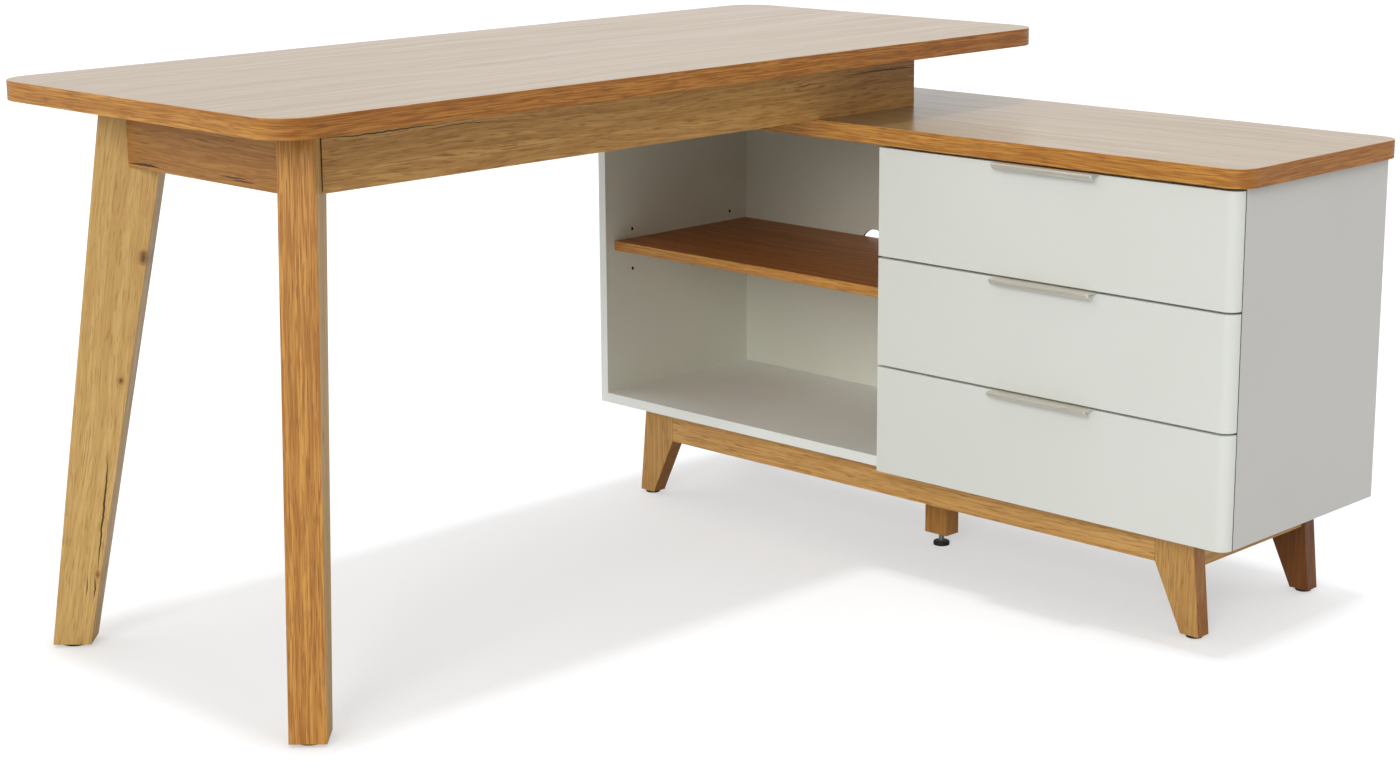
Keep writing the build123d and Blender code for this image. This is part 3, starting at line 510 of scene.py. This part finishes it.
class CORNERDESK_OT_rails(bpy.types.Operator):
    """Finish the rail frame under the desktop and the blocks inside it."""
    bl_idname = "corner_desk.rails"
    bl_label = "Rail frame"

    def execute(self, context):
        oak = context.scene.corner_desk.oak
        paint = context.scene.corner_desk.paint
        # Each crack is its place along and up the board, its length and its width.
        boards = (
            ("apron_front", oak_tones(oak, "rail"), X, 1.0,
             ((-0.47, 0.7045, 0.20, 0.0018), (-0.35, 0.7005, 0.12, 0.0012),
              (0.46, 0.6985, 0.16, 0.0020), (0.30, 0.691, 0.10, 0.0010))),
            ("apron_back", oak_tones(oak, "rail"), X, 4.6, ((0.1, 0.69, 0.2, 0.0016),)),
            # The end rails take the darker end tones, painted shade for the shade under the desktop.
            ("end_rail_left", oak_tones(oak, "end"), Y, 2.3,
             ((0.236, 0.6495, 0.06, 0.0018), (0.215, 0.6465, 0.05, 0.0016),
              (0.425, 0.6455, 0.075, 0.0030))),
            ("end_rail_right", oak_tones(oak, "end"), Y, 8.1, ()),
        )
        for board, tones, along, start, cracks in boards:
            moved = [(place + start, *rest) for place, *rest in cracks]
            dress([board], oak_decor(
                f"oak_decor_{board}", oak, tones, along_board(along, Z, (start, 0, 0)),
                rings=1.2, flow_mm=20, cracks=moved, streak_length_mm=50, streak_share=0.6,
                pore_share=0.55))
        beech = paint.beech, paint.beech_dark, paint.beech_dark, oak.scar
        dress(["corner_blocks"], oak_decor(
            "planed_beech", oak, beech, along_board(Z, X, (0, 0, 0)), rings=0.7, flow_mm=6,
            contrast=0.7, roughness=0.6, pore_share=0.3))
        return {"FINISHED"}


class CORNERDESK_OT_tall_legs(bpy.types.Operator):
    """Finish the two tall legs: rustic decor on the broad faces, straight band on the edges."""
    bl_idname = "corner_desk.tall_legs"
    bl_label = "Tall legs"

    def execute(self, context):
        oak = context.scene.corner_desk.oak
        # Each knot is its place along and across the leg, its radius and how much longer than wide it is.
        # Each crack is its place along and across the leg, its length and its width.
        legs = (
            ("desk_leg_front", Vector((1, 1, 0)).normalized(),
             ((0.30, -0.44, 0.005, 2.0),), ((0.02, -0.41, 0.11, 0.0018),)),
            ("desk_leg_back", Vector((1, -1, 0)).normalized(),
             ((0.402, -0.806, 0.0062, 2.0), (0.238, -0.818, 0.0036, 1.5), (-0.027, -0.822, 0.0036, 1.4)),
             ((0.06, -0.8235, 0.165, 0.0026), (-0.045, -0.8245, 0.030, 0.0016),
              (-0.045, -0.834, 0.026, 0.0013))),
        )
        for leg, inward, knots, cracks in legs:
            along = (inward * LEG_LEAN + Z).normalized()
            across = (inward - along * inward.dot(along)).normalized()
            decor = oak_decor(
                f"oak_decor_{leg}", oak, oak_tones(oak, "leg"), along_board(along, across, (0, 0, 0)),
                flow_mm=18, knots=knots, cracks=cracks, contrast=0.9, streak_length_mm=45,
                streak_share=0.6, pore_share=0.42)
            band = oak_decor(
                f"oak_edge_band_{leg}", oak, oak_tones(oak, "band"),
                along_board(along, along.cross(across), (2.7, 0, 0)), rings=0.8, flow_mm=3,
                contrast=0.85, roughness=0.4, streak_length_mm=65, streaks=0.95, streak_share=0.9)
            dress([leg], decor, band, choose=lambda face: 1 if face.normal.dot(inward) < -0.5 else 0)
        return {"FINISHED"}


class CORNERDESK_OT_carcass(bpy.types.Operator):
    """Finish the cabinet's panels, shelf and back."""
    bl_idname = "corner_desk.carcass"
    bl_label = "Cabinet carcass"

    def execute(self, context):
        oak = context.scene.corner_desk.oak
        paint = context.scene.corner_desk.paint
        finishes = (
            melamine("melamine_light_grey", paint.carcass, paint.carcass_shade),
            melamine("melamine_greenish_grey", paint.inside, paint.inside_shade),
            melamine("melamine_white_edge", paint.edge, paint.edge_shade),
            melamine("buffer_strip_grey", paint.seam, paint.gap_shade_clouding),
            raw_chipboard("raw_chipboard", paint.core, paint.core_shade))
        # strip is the dark grey of the right side panel's front edge, painted shade for the gap behind
        # the drawer fronts.
        outside, inside, edge, strip, core = range(len(finishes))
        # Outward is the way a panel's outer face looks; the partition has none.
        panels = (
            ("side_panel_left", Y, inside, edge), ("side_panel_right", -Y, inside, strip),
            ("bottom_panel", -Z, edge, edge), ("back_panel", X, inside, inside),
            ("partition", None, inside, edge))
        for panel, outward, wall, front_edge in panels:
            low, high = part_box(panel)

            def choose(face):
                if all(low[axis] + MM < face.center[axis] < high[axis] - MM for axis in range(3)):
                    return core
                if face.normal.x < -0.5 and panel != "back_panel":
                    return front_edge
                return outside if outward and face.normal.dot(outward) > 0.5 else wall

            dress([panel], *finishes, choose=choose)
        top = oak_decor(
            "oak_decor_shelf", oak, oak_tones(oak, "shelf"), along_board(Y, X, (5.5, 0.2, 0)), rings=1.3,
            flow_mm=40, roughness=0.42)
        band = oak_decor(
            "oak_edge_band_shelf", oak, oak_tones(oak, "band"), along_board(Y, Z, (1.5, 0, 0)), rings=0.6,
            flow_mm=4, roughness=0.4)
        dress(["shelf_board"], top, band, choose=lambda face: 1 if abs(face.normal.z) < 0.5 else 0)
        return {"FINISHED"}


class CORNERDESK_OT_plinth(bpy.types.Operator):
    """Finish the cabinet's plinth rails, short legs and centre post."""
    bl_idname = "corner_desk.plinth"
    bl_label = "Plinth"

    def execute(self, context):
        oak = context.scene.corner_desk.oak
        rails = (
            ("plinth_rail_front", Y, 2.2), ("plinth_rail_back", Y, 3.2), ("plinth_rail_left", X, 4.4),
            ("plinth_rail_right", X, 5.4), ("plinth_cross_rail", X, 6.4))
        for rail, along, start in rails:
            dress([rail], oak_decor(
                f"oak_decor_{rail}", oak, oak_tones(oak, "rail"), along_board(along, Z, (start, 0, 0)),
                rings=0.9, flow_mm=8, streak_share=0.5))
        # The front legs' faces that look along Y get painted shade.
        for number, leg in enumerate(("front_left", "front_right", "back_left", "back_right")):
            lean = SHORT_LEG_LEAN if leg.endswith("left") else -SHORT_LEG_LEAN
            # The back legs take the darker back tones, painted shade for the shade under the cabinet.
            tones = oak_tones(oak, "short" if leg.startswith("front") else "back")
            dress([f"cabinet_leg_{leg}"], oak_decor(
                f"oak_decor_cabinet_leg_{leg}", oak, tones,
                along_board(Z - Y * lean, Y, (6.0 + number, 0, 0)), rings=0.7, flow_mm=5,
                painted_y_face_shade=0.6 if leg.startswith("front") else 0.0))
        # The centre post takes the darker end tones too, as painted shade.
        dress(["centre_support_post"], oak_decor(
            "oak_decor_centre_post", oak, oak_tones(oak, "end"), along_board(Z, Y, (0.3, 0, 0)),
            rings=0.7, flow_mm=4))
        return {"FINISHED"}


class CORNERDESK_OT_drawers(bpy.types.Operator):
    """Finish the drawers: lacquered fronts, melamine boxes and satin nickel pulls."""
    bl_idname = "corner_desk.drawers"
    bl_label = "Drawers"

    def execute(self, context):
        paint = context.scene.corner_desk.paint
        front = lacquer("satin_lacquer_greyish_white", paint.front, paint.front_shade)
        box = melamine("melamine_drawer_box", paint.box, paint.box_shade)
        pull = brushed_metal("satin_nickel", paint.nickel, paint.nickel_shade, Y, 0.7, 0.45)
        for drawer in DRAWERS:
            dress([f"drawer_{drawer}_front"], front)
            dress([f"drawer_{drawer}_{part}" for part in ("sides", "back", "base")], box)
            dress([f"drawer_{drawer}_pull"], pull)
        return {"FINISHED"}


class CORNERDESK_OT_fittings(bpy.types.Operator):
    """Finish the slides, brackets, screws, cams, glides and the levelling foot."""
    bl_idname = "corner_desk.fittings"
    bl_label = "Fittings"

    def execute(self, context):
        paint = context.scene.corner_desk.paint
        zinc = zinc_plate("zinc_plated_steel", paint.zinc, paint.zinc_shade)
        plastic = moulded_plastic("moulded_black_plastic", paint.plastic, paint.plastic_shade)
        dress(["desktop_brackets", "leg_bolts", "frame_bolts", "wood_screws", "cam_bolts",
               "cam_discs", "runner_cabinet_channels", "shelf_pins", "levelling_foot_stem"], zinc)
        dress([f"drawer_{drawer}_{part}" for drawer in DRAWERS for part in ("slides", "screws")], zinc)
        dress(["desk_leg_glides", "cabinet_leg_glides", "levelling_foot_disc"], plastic)
        return {"FINISHED"}


# ---------------------------------------------------------------- studio


def matt_floor(stage):
    """Matt painted board: a fine roller grain that scatters light evenly, with no highlight."""
    material, add = start_material("matt_white_studio_floor")
    place = add("ShaderNodeTexCoord", output="Object")
    grain = pattern(add, place, (4, 4, 4))
    bump = add("ShaderNodeBump", named={"Strength": 0.1, "Distance": 0.05 * MM, "Height": grain})
    matt = add("ShaderNodeBsdfDiffuse", tuple(stage.floor), named={"Normal": bump})
    # The floor glows for the camera alone, which lightens the shadows on it and lights nothing else.
    seen = add("ShaderNodeLightPath", output="Is Camera Ray")
    lit = add(MATH, seen, stage.floor_glow, operation="MULTIPLY")
    glow = add("ShaderNodeEmission", tuple(stage.sky), lit)
    add("ShaderNodeOutputMaterial", add("ShaderNodeAddShader", matt, glow))
    return material


def add_floor(scene, stage):
    """Lays the pale floor."""
    mesh = bpy.data.meshes.new("studio_floor")
    corners = [(x * FLOOR_REACH, y * FLOOR_REACH, 0) for x, y in ((-1, -1), (1, -1), (1, 1), (-1, 1))]
    mesh.from_pydata(corners, [], [(0, 1, 2, 3)])
    floor = bpy.data.objects.new("studio_floor", mesh)
    scene.collection.objects.link(floor)
    mesh.materials.append(matt_floor(stage))


def white_surround(stage):
    """The world: a white sweep stands behind the desk and the dim room is in front of it."""
    world = bpy.data.worlds.new("white_surround")
    world.use_nodes = True
    world.node_tree.nodes.clear()
    add = partial(add_node, world.node_tree)
    way = add("ShaderNodeTexCoord", output="Generated")
    behind = add(VECTOR, way, SWEEP_WAY, output="Value", operation="DOT_PRODUCT")
    seen = add("ShaderNodeLightPath", output="Is Camera Ray")
    sweep = add(RANGE, behind, -0.5, 0.5, **SMOOTH)
    white = add(MATH, sweep, seen, operation="MAXIMUM")
    tint = add(MIX, white, tuple(stage.room), tuple(stage.sky))
    add("ShaderNodeOutputWorld", add("ShaderNodeBackground", tint, stage.sky_strength))
    return world


def add_lights(scene, stage):
    """Hangs the soft studio lights."""
    for name, angle, direction in LIGHTS:
        light = bpy.data.lights.new(name, "SUN")
        light.energy = getattr(stage, name)
        light.angle = math.radians(angle)
        lamp = bpy.data.objects.new(name, light)
        lamp.location = -LAMP_DISTANCE * Vector(direction)
        lamp.rotation_euler = Vector(direction).to_track_quat("-Z", "Y").to_euler()
        scene.collection.objects.link(lamp)


def add_camera(scene, stage):
    """Places the camera and turns it by its heading, dip and roll."""
    camera = bpy.data.cameras.new("studio_camera")
    camera.sensor_width = 36
    camera.lens = stage.lens
    camera.shift_y = stage.rise
    camera.clip_end = 100
    look = Vector((
        math.cos(stage.heading) * math.cos(stage.dip),
        math.sin(stage.heading) * math.cos(stage.dip), -math.sin(stage.dip)))
    right = Vector((math.sin(stage.heading), -math.cos(stage.heading), 0))
    up = right.cross(look)
    rolled_right = right * math.cos(stage.roll) + up * math.sin(stage.roll)
    rolled_up = up * math.cos(stage.roll) - right * math.sin(stage.roll)
    holder = bpy.data.objects.new("studio_camera", camera)
    holder.matrix_world = Matrix.LocRotScale(
        Vector(stage.camera_place), Matrix((rolled_right, rolled_up, -look)).transposed(), None)
    scene.collection.objects.link(holder)
    return holder


class CORNERDESK_OT_stage(bpy.types.Operator):
    """Set up the pale floor, the studio lights and the camera."""
    bl_idname = "corner_desk.stage"
    bl_label = "Studio"

    def execute(self, context):
        scene = context.scene
        stage = scene.corner_desk.stage
        add_floor(scene, stage)
        scene.world = white_surround(stage)
        add_lights(scene, stage)
        scene.camera = add_camera(scene, stage)
        scene.view_settings.view_transform = "Standard"
        return {"FINISHED"}


class CORNERDESK_PT_panel(bpy.types.Panel):
    """Buttons for the desk's finishes and its studio."""
    bl_idname = "CORNERDESK_PT_panel"
    bl_label = "Corner Desk"
    bl_space_type = "VIEW_3D"
    bl_region_type = "UI"
    bl_category = "Corner Desk"

    def draw(self, context):
        for operator in OPERATORS:
            self.layout.operator(operator.bl_idname)
        settings = context.scene.corner_desk
        for group in (settings.oak, settings.paint, settings.stage):
            box = self.layout.box()
            for name in group.__annotations__:
                box.prop(group, name)


OPERATORS = (
    CORNERDESK_OT_tops,
    CORNERDESK_OT_rails,
    CORNERDESK_OT_tall_legs,
    CORNERDESK_OT_carcass,
    CORNERDESK_OT_plinth,
    CORNERDESK_OT_drawers,
    CORNERDESK_OT_fittings,
    CORNERDESK_OT_stage,
)
CLASSES = (
    CORNERDESK_PG_oak,
    CORNERDESK_PG_paint,
    CORNERDESK_PG_stage,
    CORNERDESK_PG_settings,
    *OPERATORS,
    CORNERDESK_PT_panel,
)


def register():
    """Registers the classes and hangs the settings on the scene."""
    for cls in CLASSES:
        bpy.utils.register_class(cls)
    bpy.types.Scene.corner_desk = PointerProperty(type=CORNERDESK_PG_settings)


def unregister():
    """Takes the settings and the classes away again."""
    del bpy.types.Scene.corner_desk
    for cls in reversed(CLASSES):
        bpy.utils.unregister_class(cls)


def main():
    """Runs every operator."""
    register()
    for operator in OPERATORS:
        group, action = operator.bl_idname.split(".")
        getattr(getattr(bpy.ops, group), action)()


if __name__ == "__main__":
    main()
